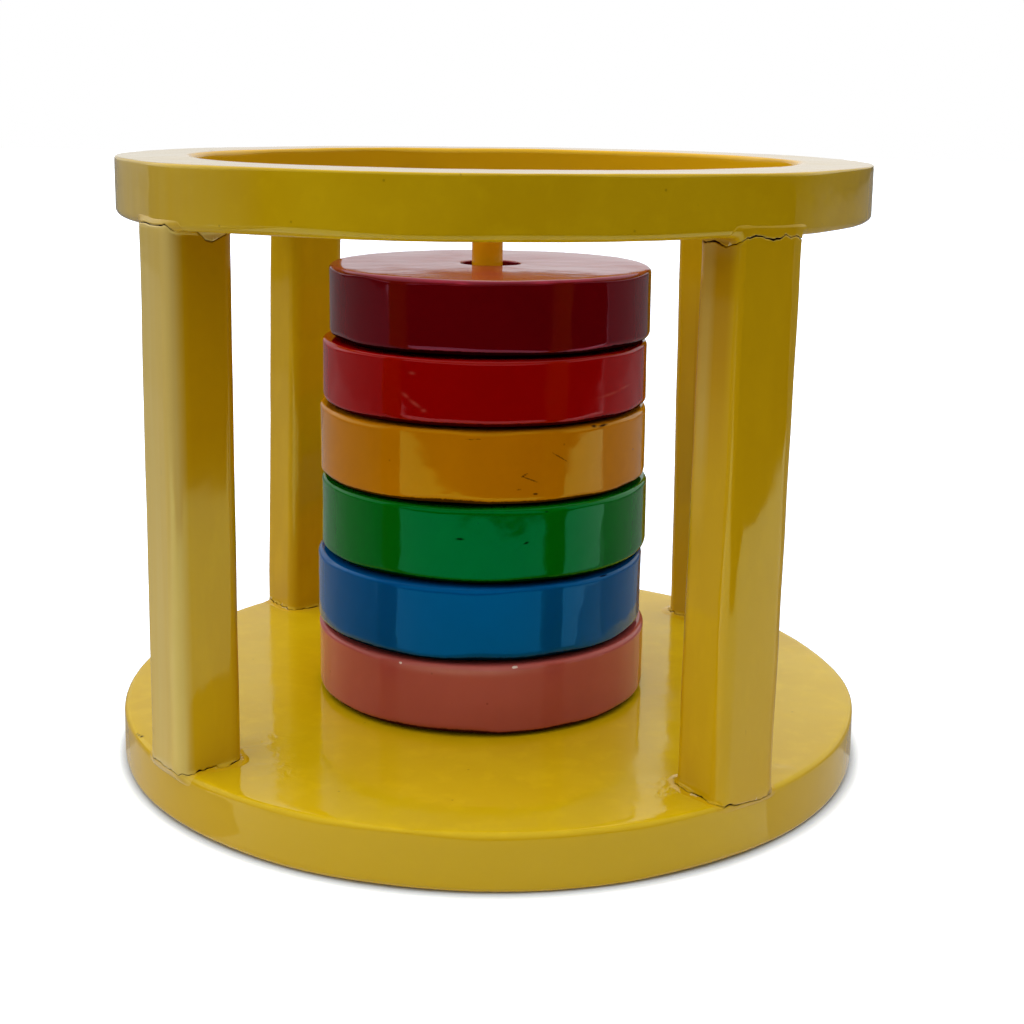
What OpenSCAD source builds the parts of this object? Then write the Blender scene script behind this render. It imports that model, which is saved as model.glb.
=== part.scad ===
// Disc stacking toy: six drilled discs on a peg, inside an open frame of four posts and a ring.
// The origin is the middle of the base's underside, and +Z points up. The front is towards -Y.

/* [Frame] */
// Outer diameter of the top ring
frame_d = 200; // [170:1:240]
// How far the base's rim stands out past the ring's
base_lip = 1.5; // [0.5:0.5:8]
// Thickness of the base
base_t = 14.5; // [11:0.5:22]
// Thickness of the top ring
ring_t = 14.5; // [11:0.5:22]
// Width of the top ring's band
ring_w = 19.5; // [16:0.5:30]
// Rounding of the base's and the ring's edges
board_edge_r = 2; // [0.5:0.25:4]

/* [Posts] */
// Side of a post's square section
post_w = 18; // [14:0.5:24]
// Length of a post between the base and the ring
post_len = 132.5; // [128:0.5:180]
// Rounding of a post's long edges
post_corner_r = 3.5; // [1:0.25:5]
// How far a post's outer face stands out past the ring's rim
post_proud = 2.5; // [0:0.25:3]
// Directions of the four posts seen from above: front right, back right, back left, front left
post_turns = [-52.2, 42.2, 130.2, 219.2]; // [-180:0.1:360]
// Turn of each post about its own length, in the same order
post_skews = [-6, 0, -4, -5]; // [-10:1:10]

/* [Discs] */
// Diameter of a disc
disc_d = 89; // [60:1:120]
// Thickness of a disc
disc_t = 19.8; // [14:0.1:21]
// Rounding of a disc's edges
disc_edge_r = 1.8; // [0.5:0.1:3]
// How much wider a disc's hole is than the peg
disc_play = 7; // [1:0.5:12]

/* [Peg] */
// Diameter of the peg
peg_d = 9; // [6:0.5:16]
// How far the peg stands out above the stack
peg_proud = 7; // [4:0.5:12]
// Rounding of the peg's upper end
peg_tip_r = 3; // [1:0.25:3]
// How far the peg stands to the right of the base's middle
peg_x = -1.9; // [-4:0.1:4]

/* [Joints] */
// Diameter of the dowel pins in the posts' ends
dowel_d = 8; // [5:0.5:10]
// Depth of a dowel pin in a post
dowel_in_post = 17; // [10:0.5:25]
// Chamfer at a dowel pin's ends
dowel_chamfer = 1; // [0.4:0.1:1.5]
// Wood left beyond a blind hole in the base or the ring
board_skin = 5; // [3:0.5:6]
// Glue film round the peg's foot and the dowel pins
glue_film = 0.05; // [0.03:0.01:0.1]
// Free room beyond a dowel pin's ends
dowel_end_gap = 0.5; // [0.2:0.1:1]

/* [Hidden] */
$fn = 96;

// A cut runs past the face that it opens
cut_past = 1;

// How much wider and thicker each hand-finished disc came out, from the bottom disc up
disc_trim = [[1.7, -0.2], [0.8, 0.6], [0.9, 0.8], [0.5, 0.2], [-0.7, -1.8], [-1.7, 0]];
// Where each disc lies in its play on the peg, to the right and to the back, as parts of the play
disc_lie = [[-0.15, 0.1], [-0.35, 0], [-0.05, 0.3], [-0.2, 0.4], [-0.1, 0.1], [0.25, 0]];
disc_count = len(disc_trim);
disc_bore_d = peg_d + disc_play;

function disc_thickness(place) = disc_t + disc_trim[place][1];
function disc_bottom(place) =
    place == 0 ? base_t : disc_bottom(place - 1) + disc_thickness(place - 1);

ring_r = frame_d / 2;
base_r = ring_r + base_lip;
ring_bottom = base_t + post_len;
post_outer_face = ring_r + post_proud;
post_inner_face = post_outer_face - post_w;
post_axis_r = post_outer_face - post_w / 2;

// A dowel pin stands in the middle of the wood that a post and the ring share
shared_inner = max(post_inner_face, ring_r - ring_w);
dowel_axis_r = (ring_r + shared_inner) / 2;
dowel_hole_d = dowel_d + 2 * glue_film;
hole_in_base = base_t - board_skin;
hole_in_ring = ring_t - board_skin;
hole_in_post = dowel_in_post + dowel_end_gap;

peg_len = disc_bottom(disc_count) + peg_proud - board_skin;

yellow = [0.80, 0.65, 0.14];
ochre = [0.72, 0.50, 0.08];
beech = [0.82, 0.68, 0.48];

// A rectangle with round corners, its lower left corner at the origin
module rounded_bar(width, height, corner_r) {
    translate([corner_r, 0]) square([width - 2 * corner_r, height]);
    translate([0, corner_r]) square([width, height - 2 * corner_r]);
    for (x = [corner_r, width - corner_r], y = [corner_r, height - corner_r])
        translate([x, y]) circle(corner_r);
}

// A flat ring with rounded edges, its underside on the ground plane
module round_band(inner_r, outer_r, thickness, edge_r) {
    rotate_extrude()
        translate([inner_r, 0]) rounded_bar(outer_r - inner_r, thickness, edge_r);
}

// A full round board with a rounded rim, its underside on the ground plane
module round_board(outer_r, thickness, edge_r) {
    cylinder(h = thickness, r = outer_r - 2 * edge_r);
    round_band(outer_r - 4 * edge_r, outer_r, thickness, edge_r);
}

// The four blind holes of a board for the posts' dowel pins, drilled up from floor_z
module dowel_holes(floor_z, depth) {
    for (turn = post_turns)
        rotate([0, 0, turn]) translate([dowel_axis_r, 0, floor_z])
            cylinder(h = depth, d = dowel_hole_d);
}

module base_disc() {
    color(yellow)
    difference() {
        round_board(base_r, base_t, board_edge_r);
        dowel_holes(board_skin, hole_in_base + cut_past);
        translate([peg_x, 0, board_skin])
            cylinder(h = hole_in_base + cut_past, d = peg_d + 2 * glue_film);
    }
}

module top_ring() {
    color(yellow)
    difference() {
        translate([0, 0, ring_bottom])
            round_band(ring_r - ring_w, ring_r, ring_t, board_edge_r);
        dowel_holes(ring_bottom - cut_past, hole_in_ring + cut_past);
    }
}

// The post at a place in post_turns, with a blind hole in each end
module post(place) {
    color(yellow)
    rotate([0, 0, post_turns[place]])
    difference() {
        translate([post_axis_r, 0, base_t])
            rotate([0, 0, post_skews[place]]) translate([-post_w / 2, -post_w / 2, 0])
                linear_extrude(post_len) rounded_bar(post_w, post_w, post_corner_r);
        for (z = [base_t - cut_past, ring_bottom - hole_in_post])
            translate([dowel_axis_r, 0, z])
                cylinder(h = hole_in_post + cut_past, d = dowel_hole_d);
    }
}

// A dowel pin that crosses the seam at seam_z, with its depths below and above the seam
module dowel(place, seam_z, below, above) {
    r = dowel_d / 2;
    color(beech)
    rotate([0, 0, post_turns[place]]) translate([dowel_axis_r, 0, seam_z])
        rotate_extrude()
            polygon([
                [0, -below], [r - dowel_chamfer, -below], [r, dowel_chamfer - below],
                [r, above - dowel_chamfer], [r - dowel_chamfer, above], [0, above]
            ]);
}

module lower_dowel(place) {
    dowel(place, base_t, hole_in_base - dowel_end_gap, dowel_in_post);
}

module upper_dowel(place) {
    dowel(place, ring_bottom, dowel_in_post, hole_in_ring - dowel_end_gap);
}

// The peg stands on the floor of its blind hole, and its upper end is rounded over
module centre_peg() {
    r = peg_d / 2;
    color(ochre)
    translate([peg_x, 0, board_skin]) {
        cylinder(h = peg_len - peg_tip_r, r = r);
        cylinder(h = peg_len, r = r - peg_tip_r);
        translate([0, 0, peg_len - peg_tip_r])
            rotate_extrude() intersection() {
                translate([r - peg_tip_r, 0]) circle(peg_tip_r);
                square([r, peg_tip_r]);
            }
    }
}

// A disc at its place in the stack, counted from 0 at the bottom
module disc(place, paint) {
    lie = disc_lie[place] * disc_play / 2;
    color(paint)
    translate([peg_x + lie[0], lie[1], disc_bottom(place)])
        round_band(disc_bore_d / 2, (disc_d + disc_trim[place][0]) / 2,
                   disc_thickness(place), disc_edge_r);
}

base_disc();
centre_peg();
top_ring();
post(0);  // post_front_right
post(1);  // post_back_right
post(2);  // post_back_left
post(3);  // post_front_left
disc(0, [0.72, 0.34, 0.32]);  // disc_pink
disc(1, [0.02, 0.34, 0.60]);  // disc_blue
disc(2, [0.02, 0.44, 0.16]);  // disc_green
disc(3, [0.74, 0.46, 0.06]);  // disc_orange
disc(4, [0.56, 0.02, 0.03]);  // disc_red
disc(5, [0.36, 0.01, 0.05]);  // disc_crimson
lower_dowel(0);  // dowel_front_right_lower
lower_dowel(1);  // dowel_back_right_lower
lower_dowel(2);  // dowel_back_left_lower
lower_dowel(3);  // dowel_front_left_lower
upper_dowel(0);  // dowel_front_right_upper
upper_dowel(1);  // dowel_back_right_upper
upper_dowel(2);  // dowel_back_left_upper
upper_dowel(3);  // dowel_front_left_upper
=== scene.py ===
import math

import bpy
import numpy as np
from mathutils import Matrix, Vector


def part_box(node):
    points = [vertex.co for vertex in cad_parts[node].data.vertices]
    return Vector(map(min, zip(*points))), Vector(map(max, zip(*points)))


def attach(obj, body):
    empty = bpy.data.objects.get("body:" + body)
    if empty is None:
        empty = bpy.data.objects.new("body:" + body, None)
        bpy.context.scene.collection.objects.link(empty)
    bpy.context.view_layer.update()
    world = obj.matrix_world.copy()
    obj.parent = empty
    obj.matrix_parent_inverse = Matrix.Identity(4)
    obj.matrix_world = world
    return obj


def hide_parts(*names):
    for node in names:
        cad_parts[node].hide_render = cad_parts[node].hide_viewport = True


# The disc stacking toy, dressed: thick gloss lacquer on hand-shaped wood, cracked along the posts' seams.
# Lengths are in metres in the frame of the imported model: +Z up, and the front towards -Y.
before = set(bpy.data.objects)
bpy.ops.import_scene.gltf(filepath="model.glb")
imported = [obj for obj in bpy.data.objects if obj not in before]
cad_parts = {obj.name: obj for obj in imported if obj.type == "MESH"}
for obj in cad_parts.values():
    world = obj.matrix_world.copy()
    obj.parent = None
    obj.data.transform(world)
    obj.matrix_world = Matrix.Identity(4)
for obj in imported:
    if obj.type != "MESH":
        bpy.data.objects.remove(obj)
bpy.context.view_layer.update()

MM = 0.001
TURN = 2 * math.pi

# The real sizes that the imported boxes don't tell
RING_BAND = 19.5 * MM
DISC_BORE_R = 8 * MM
POST_SIDE = 18 * MM
POST_CORNER_R = 3.5 * MM
BOARD_EDGE_R = 1.4 * MM
DISC_EDGE_R = 1.4 * MM
# Under its rim a disc stands a little clear of the disc below
DISC_RELIEF = 0.5 * MM
DISC_RELIEF_WIDE = 7 * MM
# The ring is thicker towards its left: how much on average, and how much more at its very left
RING_SAG = (0.35 * MM, 0.62 * MM)
# Roundings at the outer top, outer bottom, inner bottom and inner top: the ring's as shares of BOARD_EDGE_R,
# and the discs' as shares of DISC_EDGE_R
RING_EDGES = (0.55, 1.35, 1.1, 0.9)
DISC_EDGES = (1.0, 1.5, 0.7, 0.35)
OUTER_BOTTOM = 1
# The rounding round the base's foot, as a share of BOARD_EDGE_R
BASE_FOOT_EDGE = 1.15
# The ring's rim swells where the front posts meet it: how far, over what part of a turn, and how far
# anticlockwise of a post's middle
RING_SWELLS = {"front_left": 2.3 * MM, "front_right": 2.8 * MM}
RING_SWELL_WIDE = math.radians(9.5)
RING_SWELL_AHEAD = math.radians(3.5)
# How nearly flush with the swollen rim the outer faces of those posts end
HEAD_FLUSH = {"front_left": 0.35, "front_right": 1.0}
# A disc's upper face falls a little towards its rim, from this far out and at this slope
CROWN_FROM = 25 * MM
CROWN_SLOPE = 0.0125
# How much further than their boxes the hand-turned rims stand before they are worn in
DISC_FULLER = 0.35 * MM
PEG_TIP_R = 1.3 * MM
# How much thinner than its box the peg was turned, on each side
PEG_THINNER = 0.2 * MM

# How finely the shapes are cut
BOARD_COLUMNS = 720
DISC_COLUMNS = 600
POST_COLUMNS = 264
PEG_COLUMNS = 64
# A capped piece ends in a small ring of points round the middle of its cap
HUB_R = 2 * MM
PEG_HUB_R = 0.3 * MM


# Noise and mesh helpers

def soft_noise(points, size, seed, waves=14):
    """Smooth values, mostly from -1 to 1, that change over lengths of about size."""
    dice = np.random.RandomState(seed)
    total = np.zeros(points.shape[:-1])
    for _ in range(waves):
        direction = dice.normal(size=3)
        direction /= np.linalg.norm(direction)
        length = size * dice.uniform(0.7, 1.7)
        total += np.cos(points @ direction * (TURN / length) + dice.uniform(0, TURN))
    return total / math.sqrt(waves)


def grid_normals(grid, rows_closed):
    """Outward directions of a grid whose columns run anticlockwise and whose rows run down its outside."""
    along = np.roll(grid, -1, axis=1) - np.roll(grid, 1, axis=1)
    if rows_closed:
        down = np.roll(grid, -1, axis=0) - np.roll(grid, 1, axis=0)
    else:
        down = np.gradient(grid, axis=0)
    normals = np.cross(down, along)
    return normals / np.maximum(np.linalg.norm(normals, axis=2, keepdims=True), 1e-12)


def worn_in(grid, rows_closed, broad, fine, seed):
    """The grid drawn inwards by soft hand-made unevenness, broad and fine."""
    drop = broad * np.clip(1 + soft_noise(grid, 34 * MM, seed), 0, 2) / 2
    drop += fine * np.clip(1 + soft_noise(grid, 7 * MM, seed + 1), 0, 2) / 2
    return grid - grid_normals(grid, rows_closed) * drop[..., None]


def make_mesh(name, grid, rows_closed, attributes=None):
    """A smooth mesh from a grid of points, closed round its columns, and closed or capped along its rows.
    The attributes are values for each point."""
    rows, columns = grid.shape[:2]
    row_count = rows if rows_closed else rows - 1
    r, c = np.meshgrid(np.arange(row_count), np.arange(columns), indexing="ij")
    below, beside = (r + 1) % rows, (c + 1) % columns
    faces = np.stack([r * columns + c, below * columns + c, below * columns + beside,
                      r * columns + beside], -1).reshape(-1, 4).tolist()
    points = grid.reshape(-1, 3)
    if not rows_closed:
        points = np.vstack([points, grid[0].mean(0), grid[-1].mean(0)])
        first, last = rows * columns, rows * columns + 1
        end = (rows - 1) * columns
        faces += [[first, c, (c + 1) % columns] for c in range(columns)]
        faces += [[last, end + (c + 1) % columns, end + c] for c in range(columns)]
    mesh = bpy.data.meshes.new(name)
    mesh.from_pydata(points.tolist(), [], faces)
    for key, values in (attributes or {}).items():
        flat = np.zeros(len(points), np.float32)
        flat[:values.size] = values.ravel()
        mesh.attributes.new(key, "FLOAT", "POINT").data.foreach_set("value", flat)
    mesh.shade_smooth()
    piece = bpy.data.objects.new(name, mesh)
    bpy.context.scene.collection.objects.link(piece)
    return piece


def dress(piece, node, body, material):
    """The piece stands for a node of the frame, rides on its body and takes its finish."""
    piece.data.materials.append(material)
    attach(piece, body)
    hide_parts(node)


# Sections of turned pieces: rows of (radius, height), each an array over the columns' angles

def straight(start, end, count):
    """Evenly spaced points from start towards end, without the end."""
    return [(start[0] + (end[0] - start[0]) * t, start[1] + (end[1] - start[1]) * t)
            for t in np.linspace(0, 1, count, endpoint=False)]


def corner(centre, radius, from_deg, to_deg, count=7):
    """Points on an arc round centre, both ends included."""
    return [(centre[0] + radius * math.cos(a), centre[1] + radius * math.sin(a))
            for a in np.radians(np.linspace(from_deg, to_deg, count))]


def turned(section, angles, centre_x=0.0, centre_y=0.0):
    """The grid of a section turned about an upright axis."""
    ones = np.ones_like(angles)
    radius = np.array([r * ones for r, _ in section])
    height = np.array([z * ones for _, z in section])
    return np.stack([centre_x + radius * np.cos(angles), centre_y + radius * np.sin(angles), height], -1)


def edge_radii(angles, radius, variation, seed):
    """An edge's rounding along its turn, softly uneven."""
    ring = np.stack([np.cos(angles), np.sin(angles), np.zeros_like(angles)], -1)
    return radius * (1 + variation * np.clip(soft_noise(ring, 0.5, seed), -1.2, 1.2))


def column_angles(count, front_share=0.0):
    """Angles all the way round, closer together towards the front by front_share."""
    even = np.linspace(0, TURN, count, endpoint=False)
    return even - front_share * np.sin(even) - TURN / 4


def band_section(inner, outer, low, high, edges, wall_steps, face_steps, relief=0.0):
    """A ring's section: down its outer wall, in along its underside, up its bore and out along its top.
    The edges are the roundings at the outer top, outer bottom, inner bottom and inner top. The relief is how
    far the underside's outer part stands clear."""
    top_out, bottom_out, bottom_in, top_in = edges
    outer_top = corner((outer - top_out, high - top_out), top_out, 90, 0)
    outer_bottom = corner((outer - bottom_out, low + relief + bottom_out), bottom_out, 0, -90, 11)
    inner_bottom = corner((inner + bottom_in, low + bottom_in), bottom_in, -90, -180)
    if relief:
        outer_bottom.append((outer - DISC_RELIEF_WIDE, low + relief * 0.8))
        outer_bottom.append((outer - DISC_RELIEF_WIDE - 1 * MM, low))
    inner_top = corner((inner + top_in, high - top_in), top_in, 180, 90)
    return (outer_top + straight(outer_top[-1], outer_bottom[0], wall_steps)[1:]
            + outer_bottom + straight(outer_bottom[-1], inner_bottom[0], face_steps)[1:]
            + inner_bottom + straight(inner_bottom[-1], inner_top[0], wall_steps)[1:]
            + inner_top + straight(inner_top[-1], outer_top[0], face_steps)[1:])


# Finishes

def add_node(tree, kind, inputs=None, **settings):
    """A shader node with its settings, and its inputs linked or set."""
    node = tree.nodes.new("ShaderNode" + kind)
    for key, value in settings.items():
        setattr(node, key, value)
    for key, value in (inputs or {}).items():
        if isinstance(value, bpy.types.NodeSocket):
            tree.links.new(value, node.inputs[key])
        else:
            node.inputs[key].default_value = value
    return node


def noise(tree, place, size, detail=2.0, roughness=0.5, distortion=0.0):
    """Noise from 0 to 1 whose features are about size across."""
    return add_node(tree, "TexNoise", {"Vector": place, "Scale": 1 / size, "Detail": detail,
                                       "Roughness": roughness, "Distortion": distortion}).outputs["Fac"]


def ramp(tree, value, low, high, to_low=0.0, to_high=1.0):
    """The value stretched from low and high to new ends, and held there."""
    return add_node(tree, "MapRange", {"Value": value, "From Min": low, "From Max": high,
                                       "To Min": to_low, "To Max": to_high}).outputs["Result"]


def mixed(tree, share, first, second):
    """The first colour turning into the second as the share goes from 0 to 1."""
    node = add_node(tree, "Mix", data_type="RGBA")
    for socket, value in ((node.inputs[0], share), (node.inputs[6], first), (node.inputs[7], second)):
        if isinstance(value, bpy.types.NodeSocket):
            tree.links.new(value, socket)
        else:
            socket.default_value = value
    return node.outputs[2]


def maths(tree, operation, first, second):
    return add_node(tree, "Math", {0: first, 1: second}, operation=operation).outputs["Value"]


def new_material(name):
    """A new material, with its node tree and its shader."""
    material = bpy.data.materials.new(name)
    material.use_nodes = True
    tree = material.node_tree
    return material, tree, tree.nodes["Principled BSDF"]


def set_surface(tree, node):
    tree.links.new(node.outputs[0], tree.nodes["Material Output"].inputs["Surface"])


def rgba(colour):
    return (*colour, 1.0)


def scaled(colour, factor):
    return tuple(min(1.0, c * factor) for c in colour)


def dabbed(tree, dabs):
    """1 at the middle of each dab (x, y, z, radius), and 0 outside them all."""
    place = add_node(tree, "TexCoord").outputs["Object"]
    value = 0.0
    for x, y, z, radius in dabs:
        away = add_node(tree, "VectorMath", {0: place, 1: (x * MM, y * MM, z * MM)}, operation="DISTANCE")
        dab = ramp(tree, away.outputs["Value"], radius * MM, 0.3 * radius * MM)
        value = maths(tree, "MAXIMUM", value, dab)
    return value


# Where lacquer has chipped down to its filler, where it has faded, and inside a crack
BARE_FILLER = (0.70, 0.55, 0.24)
FADED_LACQUER = (0.66, 0.49, 0.15)
CRACK_DARK = (0.035, 0.013, 0.004)


def lacquer(name, colour, deep, gloss_tint, grain=(1, 1, 1), seed=0.0, roughness=(0.05, 0.12), shine=0.5,
            wave=0.16, cloudy=0.22, dabs=(), spots=(), bare=BARE_FILLER, fade_and_highlight_colour=FADED_LACQUER, shading_colour=None):
    """Thick gloss lacquer: a colour with clouds of a deeper one, smudged gloss and a faint orange peel, with
    the mesh's own wear. The mesh marks its cracks with crack, bared filler with flake and dull places with
    matt. Its further marks carry painted light and shade along with real wear: one darkens places and takes
    their gloss, for real dirt and for painted shade under the discs' rims; one turns places pale, for real
    fading and for painted highlights along the crimson disc's lower edge; one paints places in a second
    colour, a darker copy as painted shade on the base's rim and the posts, and a brighter one as painted
    light in the ring's bore. The dabs are round places of thick uneven lacquer and the spots round places of
    dirt, both (x, y, z, radius) in millimetres. The wave is the depth of the unevenness, also in
    millimetres."""
    material, tree, shader = new_material(name)
    place = add_node(tree, "TexCoord").outputs["Object"]
    place = add_node(tree, "Mapping", {"Vector": place, "Location": (seed, seed / 2, -seed),
                                       "Scale": grain}).outputs["Vector"]

    cloud = noise(tree, place, 45 * MM, detail=3, distortion=0.6)
    mottle = noise(tree, place, 7 * MM, detail=4, roughness=0.6)
    paint = mixed(tree, ramp(tree, cloud, 0.35, 0.68), rgba(colour), rgba(deep))
    paint = mixed(tree, ramp(tree, mottle, 0.5, 0.75, 0, cloudy), paint, rgba(scaled(colour, 1.12)))

    speck_cells = add_node(tree, "TexVoronoi", {"Vector": place, "Scale": 1 / (9 * MM), "Randomness": 1.0})
    speck = ramp(tree, speck_cells.outputs["Distance"], 0.02, 0.045, 0.55, 0)
    paint = mixed(tree, speck, paint, rgba(scaled(deep, 0.45)))

    tatter = noise(tree, place, 1.1 * MM, detail=3, roughness=0.65)
    marks = {key: add_node(tree, "Attribute", attribute_name=key).outputs["Fac"]
             for key in ("dirt_and_shade", "flake", "crack", "fade_and_highlight", "matt", "painted_shading")}
    # A second colour as painted shading: a darker copy as painted shade on the base's rim and the posts, a
    # brighter one as painted light in the ring's bore
    if shading_colour:
        paint = mixed(tree, marks["painted_shading"], paint, rgba(shading_colour))
    # Paler streaks: real fading, and painted highlights along the crimson disc's lower edge
    streak = add_node(tree, "Mapping", {"Vector": place, "Scale": (1, 1, 0.12)}).outputs["Vector"]
    veil = ramp(tree, noise(tree, streak, 5 * MM, detail=4), 0.25, 0.65, 0.65, 1.0)
    paint = mixed(tree, maths(tree, "MULTIPLY", marks["fade_and_highlight"], veil), paint, rgba(fade_and_highlight_colour))
    # Darker places without gloss: real dirt, and painted shade under the discs' rims
    dirt_and_shade = ramp(tree, maths(tree, "ADD", marks["dirt_and_shade"], tatter), 0.75, 1.15)
    if spots:
        dirt_and_shade = maths(tree, "MAXIMUM", dirt_and_shade, dabbed(tree, spots))
    flake = ramp(tree, maths(tree, "ADD", marks["flake"], tatter), 0.92, 1.04)
    crack = ramp(tree, marks["crack"], 0.25, 0.8)
    paint = mixed(tree, dirt_and_shade, paint, rgba(scaled(deep, 0.16)))
    paint = mixed(tree, flake, paint, rgba(bare))
    paint = mixed(tree, crack, paint, rgba(CRACK_DARK))
    tree.links.new(paint, shader.inputs["Base Color"])

    smudge = noise(tree, place, 24 * MM, detail=5, roughness=0.62, distortion=0.4)
    rough = ramp(tree, smudge, 0.4, 0.72, *roughness)
    rough = maths(tree, "ADD", rough, ramp(tree, maths(tree, "ADD", dirt_and_shade, flake), 0, 1, 0, 0.35))
    dulled = maths(tree, "MULTIPLY", marks["matt"], ramp(tree, smudge, 0.3, 0.7, 0.22, 0.36))
    rough = maths(tree, "ADD", rough, dulled)
    rough = maths(tree, "ADD", rough, maths(tree, "MULTIPLY", crack, 0.5))
    tree.links.new(rough, shader.inputs["Roughness"])
    shader.inputs["IOR"].default_value = 1.5
    shader.inputs["Specular Tint"].default_value = rgba(gloss_tint)
    shut = maths(tree, "MAXIMUM", crack, dirt_and_shade)
    tree.links.new(ramp(tree, shut, 0, 1, shine, 0.0), shader.inputs["Specular IOR Level"])

    peel = noise(tree, place, 3.2 * MM, detail=1)
    sag = noise(tree, place, 16 * MM, detail=1)
    height = maths(tree, "ADD", ramp(tree, peel, 0, 1, 0, 0.35), sag)
    if dabs:
        ripple = ramp(tree, noise(tree, place, 4.5 * MM, detail=2, distortion=0.8), 0, 1, 0, 2.2)
        height = maths(tree, "ADD", height, maths(tree, "MULTIPLY", ripple, dabbed(tree, dabs)))
    bump = add_node(tree, "Bump", {"Strength": 0.35, "Distance": wave * MM, "Height": height})
    tree.links.new(bump.outputs["Normal"], shader.inputs["Normal"])
    return material


def bare_wood(name, colour, deep):
    """Straight-grained bare beech for the pins inside the seams."""
    material, tree, shader = new_material(name)
    place = add_node(tree, "TexCoord").outputs["Object"]
    along = add_node(tree, "Mapping", {"Vector": place, "Scale": (1, 1, 0.06)}).outputs["Vector"]
    fibre = noise(tree, along, 0.9 * MM, detail=4, roughness=0.6)
    fleck = noise(tree, along, 0.35 * MM, detail=2)
    paint = mixed(tree, ramp(tree, fibre, 0.35, 0.7), rgba(colour), rgba(deep))
    paint = mixed(tree, ramp(tree, fleck, 0.62, 0.75, 0, 0.5), paint, rgba(scaled(deep, 0.6)))
    tree.links.new(paint, shader.inputs["Base Color"])
    tree.links.new(ramp(tree, fibre, 0, 1, 0.5, 0.7), shader.inputs["Roughness"])
    bump = add_node(tree, "Bump", {"Strength": 0.4, "Distance": 0.1 * MM, "Height": fibre})
    tree.links.new(bump.outputs["Normal"], shader.inputs["Normal"])
    return material


# The frame's finishes
YELLOW_GLOSS_TINT = (0.65, 0.75, 0.25)
YELLOW_SHINE = 0.7
# Uneven lacquer round the front posts' feet, and a dent
BASE_DABS = [(-59, -52, 14.5, 13), (-52, -66, 14.5, 9), (43, -76, 14.5, 11), (49, -86, 14.5, 6),
             (72.5, -64.4, 14.5, 4)]
# A dirty nick at the base's left, a chip at the front right post's foot, and a speck on the ring at its left
BASE_SPOTS = [(-92.2, -42.7, 14.5, 0.7), (-91.2, -43.9, 14.5, 0.8), (-90.3, -44.9, 14.5, 0.7),
              (-89.3, -46.0, 14.5, 0.8)]
POST_SPOTS = [(67.6, -78.0, 14.3, 1.1)]
RING_SPOTS = [(-81, 27, 161.5, 1.0)]
# The second colours are painted shading: darker copies of the yellow as painted shade on the base's rim and
# the posts, and a brighter, more orange one as painted light in the ring's bore
base_yellow = lacquer("base_yellow", (0.63, 0.415, 0.004), (0.58, 0.37, 0.002), YELLOW_GLOSS_TINT, seed=0.3,
                      roughness=(0.07, 0.2), shine=YELLOW_SHINE, wave=0.24, cloudy=0.5, dabs=BASE_DABS,
                      spots=BASE_SPOTS, shading_colour=(0.58, 0.35, 0.003))
ring_yellow = lacquer("ring_yellow", (0.62, 0.393, 0.004), (0.57, 0.342, 0.002), YELLOW_GLOSS_TINT, seed=0.4,
                      roughness=(0.04, 0.09), shine=YELLOW_SHINE, cloudy=0.4, spots=RING_SPOTS,
                      shading_colour=(0.73, 0.40, 0.006))
post_yellow = lacquer("post_yellow", (0.62, 0.377, 0.004), (0.57, 0.327, 0.002), YELLOW_GLOSS_TINT,
                      grain=(1, 1, 0.3), seed=0.7, shine=YELLOW_SHINE, wave=0.26, cloudy=0.45,
                      spots=POST_SPOTS, shading_colour=(0.50, 0.255, 0.001))
peg_ochre = lacquer("peg_ochre", (0.78, 0.35, 0.004), (0.70, 0.29, 0.003), YELLOW_GLOSS_TINT,
                    grain=(1, 1, 0.5), seed=1.1)

# Each disc's colour, the deeper colour of its clouds and the tint of its gloss, from the bottom disc up
DISC_PAINTS = {
    "pink": ((0.46, 0.089, 0.077), (0.42, 0.075, 0.062), (0.9, 0.62, 0.5)),
    "blue": ((0.0002, 0.078, 0.28), (0.0002, 0.068, 0.245), (0.0, 0.52, 1.0)),
    "green": ((0.0002, 0.145, 0.004), (0.0002, 0.124, 0.003), (0.0, 0.75, 0.33)),
    "orange": ((0.59, 0.213, 0.0006), (0.52, 0.178, 0.0004), (0.9, 1.0, 0.05)),
    "red": ((0.340, 0.0004, 0.0003), (0.305, 0.0003, 0.0002), (1.0, 0.3, 0.3)),
    "crimson": ((0.124, 0.0001, 0.002), (0.108, 0.0001, 0.0015), (1.0, 0.3, 0.5)),
}

# How dull and how faded a disc's upper face has become
DISC_MATT = {"crimson": 0.12}
DISC_TOP_HAZE = {"crimson": 0.45}
# What a disc's chips and scuffs look like, where that isn't wood: (chips, scuffs). On the crimson disc the
# scuffs' colour also paints highlights along its lower edge.
DISC_SCARS = {
    "crimson": ((0.45, 0.13, 0.16), (0.36, 0.016, 0.035)),
    "red": ((0.60, 0.20, 0.16), (0.44, 0.05, 0.035)),
    "pink": ((0.80, 0.62, 0.55), (0.56, 0.20, 0.18)),
}

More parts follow.
